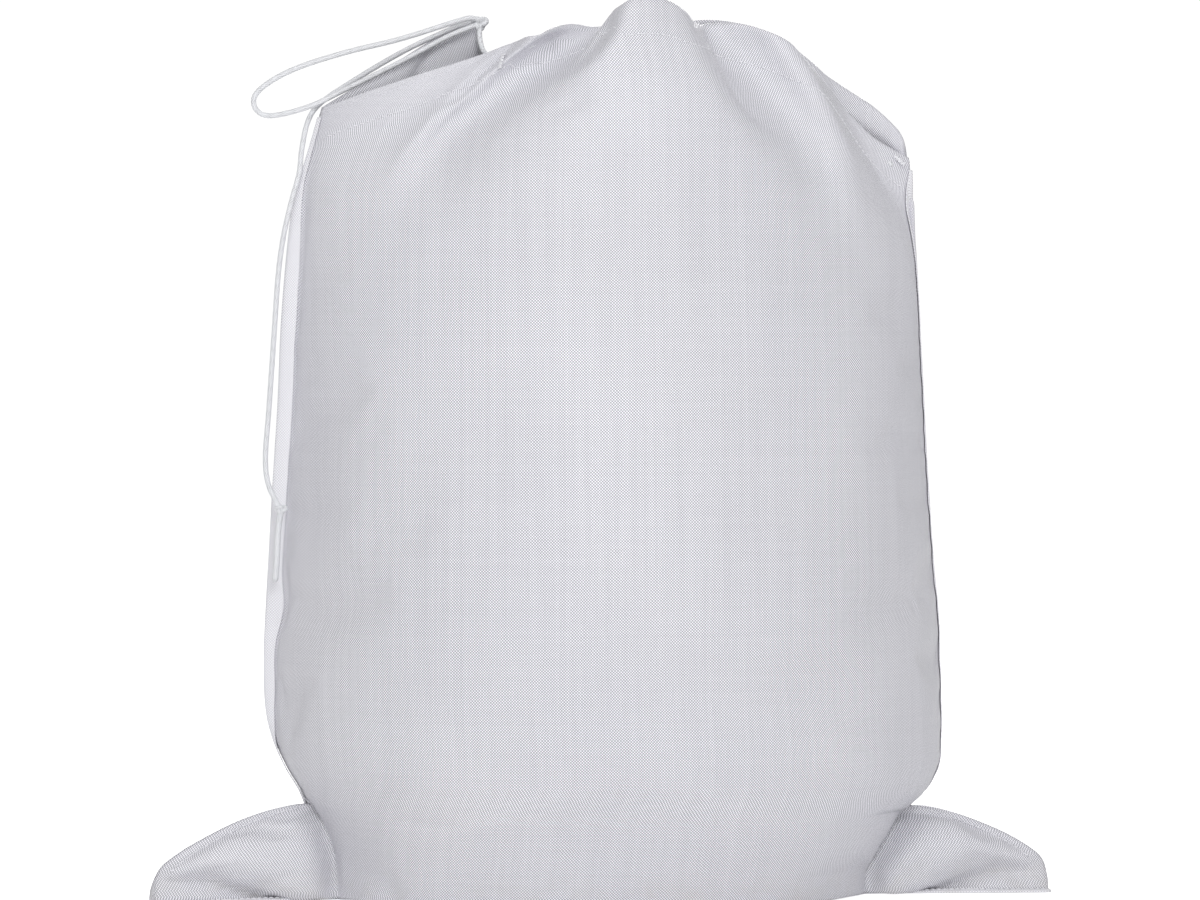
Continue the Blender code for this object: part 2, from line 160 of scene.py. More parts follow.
FABRIC = 0.0007
SEAM_FABRIC = 0.0005
SEAM_PROUD = 0.0006  # how far the doubled edge stands off the panels
HEM_LENGTH = 0.2475  # from the middle to an ear
CASING_GAP = 0.005  # between the two layers of the casing, where the cord runs
CASING_DEEP = (0.021, 0.028)  # the front half's and the back half's
CASING_ROWS = 22  # most rows of the turned-in layer
OPENING_X = -0.053  # left of here the casing is pressed flat and holds no cord
CASING_STITCH_DEPTH = 0.0185  # from the mouth down to the stitches that hold the casing
TACK_ROW = -8  # the row of a panel that the opening's tacks are on
TURN_COLUMN = COLUMNS - 6  # where the cord leaves one half of the casing for the other
STITCH = (0.0027, 0.0034, 0.00036)  # length, pitch and radius of a stitch

CORD_RADIUS = 0.0015
KNOT_CENTRE = (-0.0665, -0.001, 0.4775)
LOOP_ROUTE = in_mm(
    (-71.6, -4, 480), (-80, -4.2, 478), (-110, -4.5, 468.5), (-140, -4.5, 461), (-165, -4.5, 453),
    (-181, -4.5, 445), (-189.5, -4.5, 437), (-188.5, -4.5, 429.5), (-180, -4.5, 426.5), (-160, -4.5, 431.5),
    (-140, -4.5, 441), (-110, -4.5, 456), (-86, -4.2, 469), (-72.2, -3, 475),
)
TAIL_ROUTE = in_mm(
    (-72.2, 2.2, 477.5), (-85, 3.5, 473), (-110, 4, 461), (-140, 4, 443), (-154.5, 3.5, 432.5), (-160.5, 1.5, 423),
    (-163.8, -2, 408.6), (-165.5, -4.5, 395), (-170, -7, 379), (-174.2, -8.5, 360.8), (-177.2, -11, 339.9),
    (-179.5, -13.5, 309.7), (-182.5, -15, 267.9), (-184.6, -18, 242), (-183.5, -20, 228), (-179.5, -21.5, 218),
)
STOPPER_CENTRE = (-0.1764, -0.022, 0.2129)
TAIL_END_ROUTE = in_mm((-177.5, -21.8, 206), (-178.3, -22, 197.5), (-178.8, -22.2, 187), (-179.7, -22.4, 174))
TAIL_END_RADIUS = 0.0018
BRAID = (6, 0.0017, 0.17)  # strands each way, pitch along the cord, depth as a share of the radius

# ---- small tools ----


def curve_of(knots):
    """A smooth function through (place, value) pairs, flat past both ends."""
    x, y = np.array(knots, float).T
    slope = np.diff(y) / np.diff(x)
    tangent = np.concatenate(([slope[0]], (slope[:-1] + slope[1:]) / 2, [slope[-1]]))
    turns = np.concatenate(([False], slope[:-1] * slope[1:] <= 0, [False]))
    tangent[turns] = 0.0

    def value(at):
        at = np.clip(at, x[0], x[-1])
        k = np.clip(np.searchsorted(x, at) - 1, 0, len(x) - 2)
        h = x[k + 1] - x[k]
        t = (at - x[k]) / h
        start = (1 + 2 * t) * (1 - t) ** 2 * y[k] + t * (1 - t) ** 2 * h * tangent[k]
        end = t * t * (3 - 2 * t) * y[k + 1] - t * t * (1 - t) * h * tangent[k + 1]
        return start + end

    return value


def evenly(points, count=None, spacing=None, shares=None):
    """Points along a polyline, given their count, their spacing or the shares of its length."""
    points = np.asarray(points, float)
    along = lengths_along(points)
    if shares is None:
        shares = np.linspace(0.0, 1.0, count or max(3, round(along[-1] / spacing) + 1))
    wanted = np.asarray(shares) * along[-1]
    return np.array([np.interp(wanted, along, points[:, axis]) for axis in range(points.shape[1])]).T


def between(before, start, end, after, t):
    """A smooth value between two of four in a row."""
    return 0.5 * (2 * start + (end - before) * t + (2 * before - 5 * start + 4 * end - after) * t**2
                  + (3 * start - before - 3 * end + after) * t**3)


def smooth_line(points, count=None, spacing=None, shares=None):
    """Points on a smooth curve through a route's own points."""
    knots = np.array(points, float)
    padded = np.concatenate(([2 * knots[0] - knots[1]], knots, [2 * knots[-1] - knots[-2]]))
    steps = np.linspace(0, 1, 24, endpoint=False)
    dense = [between(*four, t) for four in zip(padded, padded[1:], padded[2:], padded[3:]) for t in steps]
    return evenly(dense + [knots[-1]], count, spacing, shares)


def smoothstep(t):
    t = np.clip(t, 0.0, 1.0)
    return t * t * (3 - 2 * t)


def soft_max(a, b, width):
    """The larger of two heights, rounded where they cross."""
    return 0.5 * (a + b + np.sqrt((a - b) ** 2 + width**2))


def unit(vectors):
    return vectors / np.maximum(np.linalg.norm(vectors, axis=-1, keepdims=True), 1e-12)


def lengths_along(points):
    """Distance of each point of a polyline from its start."""
    return np.concatenate(([0.0], np.cumsum(np.linalg.norm(np.diff(points, axis=0), axis=1))))


def at_distance(points, along, distance):
    """The point at a distance along a polyline, given its points' distances from its start."""
    return np.array([np.interp(distance, along, points[:, axis]) for axis in range(3)])


def linked(name, data):
    """A new object in the scene."""
    made = bpy.data.objects.new(name, data)
    bpy.context.collection.objects.link(made)
    return made


def ring_faces(first, rings, around, closed=False):
    """Faces of a tube whose rings of points follow each other from a first index."""
    faces = []
    for ring in range(rings if closed else rings - 1):
        low, high = first + ring * around, first + (ring + 1) % rings * around
        for i in range(around):
            j = (i + 1) % around
            faces.append((low + i, low + j, high + j, high + i))
    if not closed:
        faces.append(tuple(first + i for i in reversed(range(around))))
        faces.append(tuple(first + (rings - 1) * around + i for i in range(around)))
    return faces


def grid_normals(grid):
    """Unit normals of a grid, outwards on a front panel (rows upwards, columns to the right)."""
    return unit(np.cross(np.gradient(grid, axis=1), np.gradient(grid, axis=0)))


# ---- shape of a panel ----


def edge_rows(ear, side):
    """Points up one side edge: the rows along the ear's top, then the rows up the side."""
    return np.concatenate((smooth_line(ear, EAR_ROWS), smooth_line(side, shares=ROW_SHARES)[1:]))


def belly_depth(x, middle, half_width):
    """Half depth of the filled belly at a place across a row of a given height at its middle."""
    full = curve_of(HALF_DEPTH)(middle)
    ridge = RIDGE_FOOT + (RIDGE_HEIGHT - RIDGE_FOOT) * np.clip(1.06 - np.hypot(x / 0.155, 0.06), 0.0, 1.0)
    under = UNDERCUT * np.clip(1 - middle / ridge, 0.0, 1.0) ** 1.12
    share = np.clip(1 - np.abs(x / half_width) ** 2.25, 0.0, 1.0) ** 0.62
    return (full - under) * share


def ear_depth(x, z, top, root):
    """Half depth of an ear: a puffed lens between the doubled edges above and below it."""
    out = np.clip((np.abs(x) - 0.14) / 0.108, 0.0, 1.0)
    foot = 0.0135 * smoothstep((out - 0.3) / 0.5)
    ceiling = top - 0.0045 * smoothstep(out / 0.3)
    centre = (ceiling + foot) / 2 * smoothstep(out / 0.6)
    tucked = np.exp(-(((np.abs(x) - root + 0.002) / 0.01) ** 2))  # the belly overlaps the ear's root
    thickness = 0.027 * np.clip(1 - out, 0, 1) ** 0.75 * (1 - 0.55 * tucked)
    share = np.where(z > centre, (z - centre) / np.maximum(ceiling - centre, 1e-3),
                     (centre - z) / np.maximum(centre - foot, 1e-3) * smoothstep(out / 0.4))
    lens = thickness * np.sqrt(np.clip(1 - share**2, 0.0, 1.0))
    skirt = 0.0015 + 0.0095 * np.clip(1 - z / np.maximum(foot, 1e-4), 0.0, 1.0)
    return np.maximum(lens, skirt * smoothstep(out / 0.3))


def edge_widths(low, high, on_ear):
    """How much doubled edge shows at a row's left and right end, and how far the right one is turned back."""
    if on_ear:
        return 0.003, 0.003, 0.0
    turned = smoothstep((high[1] - 0.047) / 0.012) * (1 - smoothstep((high[1] - 0.37) / 0.03))
    return curve_of(LEFT_EDGE)(low[1]), 0.0014, turned


def panel_rows(turn_back):
    """A panel's outer face as if it were in front, before its folds: rows upwards, columns to the right.

    turn_back is how far the right side's doubled edge lies behind the seam.
    """
    left = edge_rows(LEFT_EAR, LEFT_SIDE)
    right = edge_rows(RIGHT_EAR, RIGHT_SIDE)
    ear_middle = np.linspace(0.0008, (left[EAR_ROWS - 1, 1] + right[EAR_ROWS - 1, 1]) / 2, EAR_ROWS)
    dense = np.linspace(ear_middle[-1], MIDDLE_TOP, 400)
    profile = evenly(np.array([dense, curve_of(HALF_DEPTH)(dense)]).T, shares=ROW_SHARES)[1:, 0]
    middle = np.concatenate((ear_middle, profile))
    across = np.sin(np.linspace(-math.pi / 2, math.pi / 2, 1201))
    ear_tops = np.concatenate((left[:EAR_ROWS], right[:EAR_ROWS][::-1])).T
    left_foot, right_foot = curve_of(LEFT_FOOT), curve_of(RIGHT_FOOT)
    rows = []
    for number, (low, high, mid) in enumerate(zip(left, right, middle)):
        left_flange, right_flange, turned = edge_widths(low, high, number < EAR_ROWS)
        x = (low[0] + high[0]) / 2 + (high[0] - low[0]) / 2 * across
        side = np.where(across < 0, low[1], high[1])
        z = mid + (side - mid) * np.abs(across) ** 2.2
        from_edge = np.minimum(x - low[0], high[0] - x)
        flange = 0.001 + 0.0015 * np.clip(from_edge / np.where(x < 0, left_flange, right_flange), 0, 1)
        if number < EAR_ROWS:
            half_width = np.where(x < 0, left_foot(mid), right_foot(mid))
            ear = ear_depth(x, z, np.interp(x, *ear_tops), half_width)
            depth = soft_max(belly_depth(x, mid, half_width), ear, 0.001)
        else:
            half_width = np.where(x < 0, -low[0] - left_flange, high[0] - right_flange)
            depth = soft_max(belly_depth(x, mid, half_width), flange, 0.002)
        depth = np.maximum(depth, flange)
        depth = depth * smoothstep(from_edge / 0.002) + 0.0008 * (1 - smoothstep(from_edge / 0.002))
        past_root = np.clip(1 - (high[0] - x) / right_flange, 0.0, 1.0)
        y = -depth + turn_back * turned * past_root
        rows.append(evenly(np.array([x, y, z]).T, COLUMNS + 1))
    rows = np.array(rows)
    floor = []
    for share in np.linspace(0.0, 1.0, FLOOR_ROWS, endpoint=False):
        row = rows[0].copy()
        row[:, 1] *= share
        row[:, 2] = 0.0008
        floor.append(row)
    return np.concatenate((np.array(floor), rows))


def bend_ears(points):
    """Swing the ears: the left one towards the front, the right one a little."""
    made = np.array(points, float)
    out = smoothstep((np.abs(made[..., 0]) - 0.135) / 0.11)
    low = 1 - smoothstep((made[..., 2] - 0.05) / 0.03)
    made[..., 1] += np.where(made[..., 0] < 0, LEFT_EAR_SWING, RIGHT_EAR_SWING) * out * low
    return made


def depth_below_rim(grid):
    """Distance of each point of a panel below its top row, along its column."""
    steps = np.linalg.norm(np.diff(grid[::-1], axis=0), axis=2)
    below = np.concatenate((np.zeros((1, grid.shape[1])), np.cumsum(steps, axis=0)))
    return below[::-1]


def gathered(grid, rim, centre):
    """Carry the folds of the mouth down into a panel. They widen from a centre and fade as they go."""
    shift = smooth_line(rim, COLUMNS + 1) - (0.0, 0.0, CASING_GAP / 2) - grid[-1]
    below = depth_below_rim(grid)
    columns = np.arange(grid.shape[1], dtype=float)
    inner = smoothstep(np.minimum(columns, COLUMNS - columns) / SIDE_HOLD)
    made = grid.copy()
    for number in range(len(grid)):
        deep = below[number].mean()
        if deep > GATHER_REACH * 1.3:
            continue
        spread = 1 + GATHER_SPREAD * deep
        source = centre * COLUMNS + (columns - centre * COLUMNS) / spread
        source = columns + (source - columns) * inner
        for axis, reach in enumerate((0.6, 1.0, 0.6)):
            fade = 1 - smoothstep(below[number] / (GATHER_REACH * reach))
            made[number, :, axis] += np.interp(source, columns, shift[:, axis]) * fade
    return made


def seen(points):
    """Places on the bag as seen square on from a little left of its front: across and up."""
    return points[..., 0] * 0.9945 - points[..., 1] * 0.1045, points[..., 2]


def line_distance(across, up, line):
    """Signed distance to a line, positive on its left, and the share of the line that it lies at."""
    line = smooth_line(line, 24)
    best = np.full(across.shape, 1e9)
    signed, place = np.zeros(across.shape), np.zeros(across.shape)
    for number, (a, b) in enumerate(zip(line, line[1:])):
        along = b - a
        share = ((across - a[0]) * along[0] + (up - a[1]) * along[1]) / (along @ along)
        share = np.clip(share, 0.0, 1.0)
        off_x, off_z = across - a[0] - share * along[0], up - a[1] - share * along[1]
        distance = np.hypot(off_x, off_z)
        nearer = distance < best
        best = np.where(nearer, distance, best)
        side = np.sign(along[0] * off_z - along[1] * off_x)
        signed = np.where(nearer, side * distance, signed)
        place = np.where(nearer, (number + share) / (len(line) - 1), place)
    return signed, place


def fold_offset(across, up, fold):
    """How far a fold brings the cloth forward: up on its near side and down on its far side."""
    line, near_side, height, roundness, reaches = fold
    signed, place = line_distance(across, up, line)
    near = signed * near_side > 0
    away = np.abs(signed)
    rise = np.tanh(away / np.where(near, *roundness)) * np.exp(-away / np.where(near, *reaches))
    strength = np.interp(place, (0.0, 0.6, 1.0), (height[0], 0.65 * height[0], height[1]))
    return strength * rise * np.where(near, 1, -1)


def dent_offset(across, up, dent):
    """A shallow dent: place across and up, half sizes, tilt in degrees and depth."""
    x, z, half_x, half_z, tilt, depth = dent
    turn = math.radians(tilt)
    dx, dz = across - x, up - z
    u = (dx * math.cos(turn) + dz * math.sin(turn)) / half_x
    v = (-dx * math.sin(turn) + dz * math.cos(turn)) / half_z
    return -depth * np.exp(-(u**2 + v**2))


def folded(grid, folds, dents):
    """Bring a front panel forward and back along its folds and dents."""
    across, up = seen(grid)
    forward = sum(fold_offset(across, up, fold) for fold in folds)
    forward = forward + sum(dent_offset(across, up, dent) for dent in dents)
    edge = np.minimum(np.arange(COLUMNS + 1), COLUMNS - np.arange(COLUMNS + 1))
    made = grid.copy()
    made[..., 1] -= forward * smoothstep(edge / 9.0)
    return made


def grid_faces(index, flip=False):
    """Faces between the points of a grid, given their indices."""
    corners = [index[:-1, :-1], index[:-1, 1:], index[1:, 1:], index[1:, :-1]]
    return np.stack(corners[::-1] if flip else corners, axis=-1).reshape(-1, 4).tolist()


def grid_object(name, grid):
    mesh = bpy.data.meshes.new(name)
    index = np.arange(grid[..., 0].size).reshape(grid.shape[:2])
    mesh.from_pydata(grid.reshape(-1, 3).tolist(), [], grid_faces(index))
    mesh.shade_smooth()
    return linked(name, mesh)


def weld_cloth(front_grid, back_grid):
    """One mesh of both panels, joined along the sides and the bottom, and the index of each grid point."""
    rows, columns = front_grid.shape[:2]
    front_index = np.arange(rows * columns).reshape(rows, columns)
    back_index = front_index.copy()
    inner = np.zeros((rows, columns), bool)
    inner[1:, 1:-1] = True
    back_index[inner] = rows * columns + np.arange(inner.sum())
    points = np.concatenate((front_grid.reshape(-1, 3), back_grid[inner]))
    return points, grid_faces(front_index) + grid_faces(back_index, flip=True), front_index, back_index


def settle(front_grid, back_grid):
    """Let both panels settle as cloth that is blown up a little, held at its seams, base and mouth."""
    coarse = [grid[::SIM_STEP, ::SIM_STEP] for grid in (front_grid, back_grid)]
    points, faces, front_index, back_index = weld_cloth(*coarse)
    mesh = bpy.data.meshes.new("settling_cloth")
    mesh.from_pydata(points.tolist(), [], faces)
    cloth = linked("settling_cloth", mesh)
    held = np.zeros(front_index.shape, bool)
    held[: FLOOR_ROWS // SIM_STEP] = held[:, :3] = held[:, -3:] = held[-2:] = True
    held_points = np.unique(np.concatenate((front_index[held], back_index[held])))
    cloth.vertex_groups.new(name="held").add(held_points.tolist(), 1.0, "REPLACE")
    made = cloth.modifiers.new("cloth", "CLOTH")
    for setting, value in CLOTH_SETTINGS.items():
        setattr(made.settings, setting, value)
    made.settings.effector_weights.gravity = 0.0
    made.collision_settings.use_collision = False
    made.point_cache.frame_start, made.point_cache.frame_end = 1, SIM_FRAMES
    scene = bpy.context.scene
    for number in range(1, SIM_FRAMES + 1):
        scene.frame_set(number)
    shaped = cloth.evaluated_get(bpy.context.evaluated_depsgraph_get())
    moved = np.zeros(len(points) * 3)
    shaped.data.vertices.foreach_get("co", moved)
    move = moved.reshape(-1, 3) - points
    size = np.linalg.norm(move, axis=1, keepdims=True)
    move *= MOST_MOVE * np.tanh(size / MOST_MOVE) / np.maximum(size, 1e-9)
    scene.frame_set(1)
    bpy.data.objects.remove(cloth, do_unlink=True)
    result = []
    for grid, index in ((front_grid, front_index), (back_grid, back_index)):
        kept = smoothstep(depth_below_rim(grid) / 0.16 - 0.15)[..., None]
        result.append(grid + finer(move[index], grid.shape[:2]) * kept)
    return result


def finer(values, shape):
    """Values on every second row and column, taken to the full grid along smooth curves."""
    for axis in (0, 1):
        last = values.shape[axis] - 1
        at = np.arange(shape[axis]) / SIM_STEP
        k = np.clip(at.astype(int), 0, last)
        t = (at - k).reshape([-1 if i == axis else 1 for i in range(3)])
        values = between(*(np.take(values, np.clip(k + offset, 0, last), axis=axis) for offset in (-1, 0, 1, 2)), t)
    return values


# ---- casing and seams ----


def with_casing(grid, side, deepest_turn):
    """Fold a panel's top over into the casing, and return the whole sheet and the cord's run in it."""
    normals = grid_normals(grid) * side
    kernel = np.ones(13) / 13
    inwards = np.empty_like(normals)
    deepest = CASING_ROWS + 2
    for axis in range(3):
        for row in range(len(grid) - deepest, len(grid)):
            padded = np.pad(normals[row, :, axis], 6, mode="edge")
            inwards[row, :, axis] = -np.convolve(padded, kernel, "valid")
    inwards[-deepest:] = unit(inwards[-deepest:] * (1, 1, 0.3) + (0.0, 0.5 * side, 0.0))
    below = depth_below_rim(grid)
    open_share = smoothstep((grid[-1, :, 0] - OPENING_X) / 0.012 + 0.5)[:, None]
    gap = 0.0016 + (CASING_GAP - 0.0016) * open_share
    top, up = grid[-1], unit(grid[-1] - grid[-6])
    rows = list(grid)
    for angle in np.linspace(0.0, math.pi, 8)[1:]:
        rows.append(top + up * gap / 2 * math.sin(angle) + inwards[-1] * gap / 2 * (1 - math.cos(angle)))
    for number in range(2, CASING_ROWS):
        deep = below[-number].mean()
        if deep > deepest_turn:
            break
        narrow = smoothstep((deep - 0.01) / (deepest_turn - 0.01))
        rows.append(grid[-number] + inwards[-number] * (gap * (1 - narrow) + 0.001 * narrow))
    run = grid[-5] + inwards[-5] * (CASING_GAP / 2 + 0.0002)
    return np.array(rows), run


def along_row(row, distance, from_right=False):
    """The point of a row at a distance from its left or right end."""
    row = row[::-1] if from_right else row
    return at_distance(row, lengths_along(row), distance)


def doubled_width(row, on_ear, right):
    """How wide a side's doubled edge is at one row of a panel."""
    left_width, right_width, turned = edge_widths(row[0, ::2], row[-1, ::2], on_ear)
    return math.hypot(right_width, TURN_BACK * turned) if right else left_width


def seam_strip(name, front_grid, back_grid, right):
    """The doubled edge of a side seam: a strip folded round the outer edge, wider in front."""
    rows = []
    sign = 1 if right else -1
    front_out, back_out = grid_normals(front_grid), -grid_normals(back_grid)
    column = -5 if right else 5
    for number in range(FLOOR_ROWS + EAR_ROWS - 1, front_grid.shape[0] - 4):
        edge = front_grid[number, -1 if right else 0]
        width = doubled_width(front_grid[number], False, right)
        layers = []
        for grid, outwards, shares in (
            (front_grid, front_out, (0.97, 0.92, 0.7, 0.45, 0.2, 0.05)), (back_grid, back_out, (0.05, 0.22, 0.44)),
        ):
            proud = outwards[number, column] * SEAM_PROUD
            layers.append([along_row(grid[number], share * width, right) + proud for share in shares])
        rows.append(layers[0] + [edge + np.array([sign * 0.0008, 0.0, 0.0])] + layers[1])
    strip = np.array(rows)
    if right:
        strip = strip[:, ::-1]
    return grid_object(name, strip), strip


def seam_line(grid, right):
    """The line of stitches beside a side edge, from the tip of the ear to the mouth, and its normals."""
    line, outwards = [], []
    normals = grid_normals(grid)
    for number in range(FLOOR_ROWS + 4, grid.shape[0] - 7):
        on_ear = number < FLOOR_ROWS + EAR_ROWS
        inset = 0.008 if on_ear else 0.92 * doubled_width(grid[number], on_ear, right)
        normal = normals[number, -5 if right else 5]
        outwards.append(normal)
        line.append(along_row(grid[number], inset, right) + normal * (0.0 if on_ear else SEAM_PROUD))
    return np.array(line), np.array(outwards)


def thread_ring(centre, up, high, across, wide):
    """Six points round a thread."""
    turns = np.arange(6) * math.pi / 3
    return [centre + up * high * math.sin(turn) + across * wide * math.cos(turn) for turn in turns]


def stitch_row(name, line, outwards, lift=0.0):
    """A row of stitches along a line, each a thread that rises from the cloth and dips back in."""
    length, pitch, radius = STITCH
    along = lengths_along(line)
    points, faces = [], []
    for start in np.arange(pitch / 2, along[-1] - length, pitch):
        faces += ring_faces(len(points), 5, 6)
        for share in (0.0, 0.2, 0.5, 0.8, 1.0):
            place = start + length * share
            centre, normal = at_distance(line, along, place), unit(at_distance(outwards, along, place))
            forward = unit(at_distance(line, along, place + 1e-4) - at_distance(line, along, place - 1e-4))
            beside = unit(np.cross(forward, normal))
            rise = lift + radius * (1.1 * math.sin(math.pi * share) ** 0.5 - 0.35)
            thick = radius * (0.65 + 0.35 * math.sin(math.pi * share))
            points += thread_ring(centre + normal * rise, normal, thick, beside, thick)
    return mesh_object(name, points, faces)


def tack(name, centre, along, outwards, width=0.0085, rows=9):
    """A bar tack: short stitches packed side by side."""
    along, outwards = unit(np.array(along, float)), unit(np.array(outwards, float))
    across = unit(np.cross(along, outwards))
    points, faces = [], []
    for number in range(rows):
        middle = np.array(centre) + along * (number / (rows - 1) - 0.5) * width
        lean = along * 0.0003 * (-1) ** number
        faces += ring_faces(len(points), 5, 6)
        for share in (-1.0, -0.6, 0.0, 0.6, 1.0):
            rise = 0.0006 * (1 - abs(share) ** 3) - 0.0002
            place = middle + across * share * 0.0014 + lean * share + outwards * rise
            points += thread_ring(place, outwards, 0.00042, along, 0.00055)
    return mesh_object(name, points, faces)


def mesh_object(name, points, faces):
    mesh = bpy.data.meshes.new(name)
    mesh.from_pydata([tuple(point) for point in points], [], faces)
    shape = bmesh.new()
    shape.from_mesh(mesh)
    bmesh.ops.recalc_face_normals(shape, faces=shape.faces)
    shape.to_mesh(mesh)
    shape.free()
    mesh.shade_smooth()
    return linked(name, mesh)


# ---- cord ----


def braided(name, path, radius, closed=False, around=24):
    """A tube with the crossing strands of a braid, along points a fraction of a millimetre apart."""
    strands, pitch, depth = BRAID
    ahead = np.roll(path, -1, axis=0) - np.roll(path, 1, axis=0)
    if not closed:
        ahead[0], ahead[-1] = path[1] - path[0], path[-1] - path[-2]
    ahead = unit(ahead)
    side = unit(np.cross(ahead[0], (0.3, 0.2, 1.0)))
    along = lengths_along(path)
    turns = np.arange(around) / around
    points, grooves = [], []
    for place, (centre, forward) in enumerate(zip(path, ahead)):
        side = unit(side - forward * (side @ forward))
        other = np.cross(forward, side)
        a = strands * turns + along[place] / pitch
        b = strands * turns - along[place] / pitch
        over = (np.floor(a) + np.floor(b)) % 2 == 0
        cell = np.where(over, a % 1.0, b % 1.0)
        bump = 1 - (2 * cell - 1) ** 2
        swell = radius * (1 - depth + depth * bump)
        end = 1.0
        if not closed:
            end = min(1.0, 0.55 + min(place, len(path) - 1 - place) * 0.15)
        angle = turns[:, None] * 2 * math.pi
        points += list(centre + end * swell[:, None] * (np.cos(angle) * side + np.sin(angle) * other))
        grooves += list(bump)
    obj = mesh_object(name, points, ring_faces(0, len(path), around, closed))
    attribute = obj.data.attributes.new("strand", "FLOAT", "POINT")
    attribute.data.foreach_set("value", np.array(grooves, np.float32))
    return obj


def cord_piece(name, route, radius):
    path = smooth_line(route, spacing=0.0004)
    return braided(name, path, radius), path


def knot_piece(name, centre, scale, radius):
    """A tight overhand knot: the cord crosses itself three times."""
    t = np.linspace(0, 2 * math.pi, 160, endpoint=False)
    turn = np.array([np.sin(t) + 2 * np.sin(2 * t), 0.85 * np.cos(t) - 1.7 * np.cos(2 * t), -1.25 * np.sin(3 * t)]).T
    path = np.array(centre) + turn[:, (0, 2, 1)] * scale
    return braided(name, path, radius, closed=True, around=16)


# ---- the bag ----

front_grid = folded(gathered(bend_ears(panel_rows(TURN_BACK)), FRONT_RIM, MAIN_FOLD), FRONT_FOLDS, FRONT_DENTS)
back_grid = folded(gathered(bend_ears(panel_rows(-TURN_BACK) * (1, -1, 1)), BACK_RIM, 0.5), (), BACK_DENTS)
front_grid, back_grid = settle(front_grid, back_grid)


def give_uv(obj, grid, panel=False):
    """Map a piece by where each point lies on the cut cloth, in metres across and up."""
    across = np.cumsum(np.linalg.norm(np.diff(grid, axis=1, prepend=grid[:, :1]), axis=2), axis=1)
    across = across - across[:, grid.shape[1] // 2][:, None]
    if panel:
        up = grid[..., 2].copy()
        up[:FLOOR_ROWS] -= np.abs(grid[FLOOR_ROWS, :, 1] - grid[:FLOOR_ROWS, :, 1])
    else:
        up = np.cumsum(np.linalg.norm(np.diff(grid, axis=0, prepend=grid[:1]), axis=2), axis=0)
    layer = obj.data.uv_layers.new(name="UVMap")
    corner = np.zeros(len(obj.data.loops), np.int32)
    obj.data.loops.foreach_get("vertex_index", corner)
    values = np.stack((across.ravel()[corner], up.ravel()[corner]), axis=1)
    layer.data.foreach_set("uv", values.astype(np.float32).ravel())


def thicken(obj, thickness, side=1):
    made = obj.modifiers.new("thickness", "SOLIDIFY")
    made.thickness = thickness
    made.offset = -side
    made.use_even_offset = False
    made.use_rim = True


def add_piece(obj, slot, body, *nodes):
    """Put a piece on its body (for a lip body, only bake its place into its points), hide the nodes it stands for
    and note what it is made of.
    """
    if body.endswith("lip"):
        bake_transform(obj)
    else:
        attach(obj, body)
    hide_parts(*nodes)
    pieces.append((obj, slot))


pieces = []
front_sheet, front_run = with_casing(front_grid, 1, CASING_DEEP[0])
back_sheet, back_run = with_casing(back_grid, -1, CASING_DEEP[1])
for name, sheet, side, lip, nodes in (
    ("front_fabric", front_sheet, 1, "front_lip", ("front_panel", "front_casing")),
    ("back_fabric", back_sheet, -1, "back_lip", ("back_panel", "back_casing", "casing_flap")),
):
    obj = grid_object(name, sheet)
    if side < 0:
        obj.data.flip_normals()
    give_uv(obj, sheet, panel=True)
    thicken(obj, FABRIC)
    add_piece(obj, "mesh_fabric", lip, *nodes)

for side_name, right in (("left", False), ("right", True)):
    obj, strip = seam_strip(f"{side_name}_seam_strip", front_grid, back_grid, right)
    give_uv(obj, strip)
    thicken(obj, SEAM_FABRIC)
    add_piece(obj, "seam_fabric", "bag", f"{side_name}_side_seam")
    obj = stitch_row(f"{side_name}_seam_stitches", *seam_line(front_grid, right), 0.0001)
    add_piece(obj, "sewing_thread", "bag", f"{side_name}_side_stitching")

# the hem along the bottom
hem_x = np.linspace(-HEM_LENGTH, HEM_LENGTH, 200)
hem_y = -0.0065 * smoothstep((np.abs(hem_x) - 0.12) / 0.05)
hem = []
for offset, height in ((-0.0075, 0.0006), (-0.0073, 0.0015), (-0.006, 0.0019), (0.0, 0.002), (0.0045, 0.0016)):
    hem.append(np.array([hem_x, hem_y + offset, np.full_like(hem_x, height)]).T)
hem = bend_ears(np.array(hem))
obj = grid_object("bottom_hem", hem)
give_uv(obj, hem)
thicken(obj, SEAM_FABRIC)
add_piece(obj, "seam_fabric", "bag", "bottom_seam")
for row, name in enumerate(("front", "back")):
    line = hem[2] + (hem[3] - hem[2]) * (0.15 + 0.45 * row) + (0, 0, 0.0001)
    obj = stitch_row(f"hem_stitches_{name}", line, np.tile((0.0, 0.0, 1.0), (len(line), 1)))
    add_piece(obj, "sewing_thread", "bag", f"bottom_stitching_{name}_row")

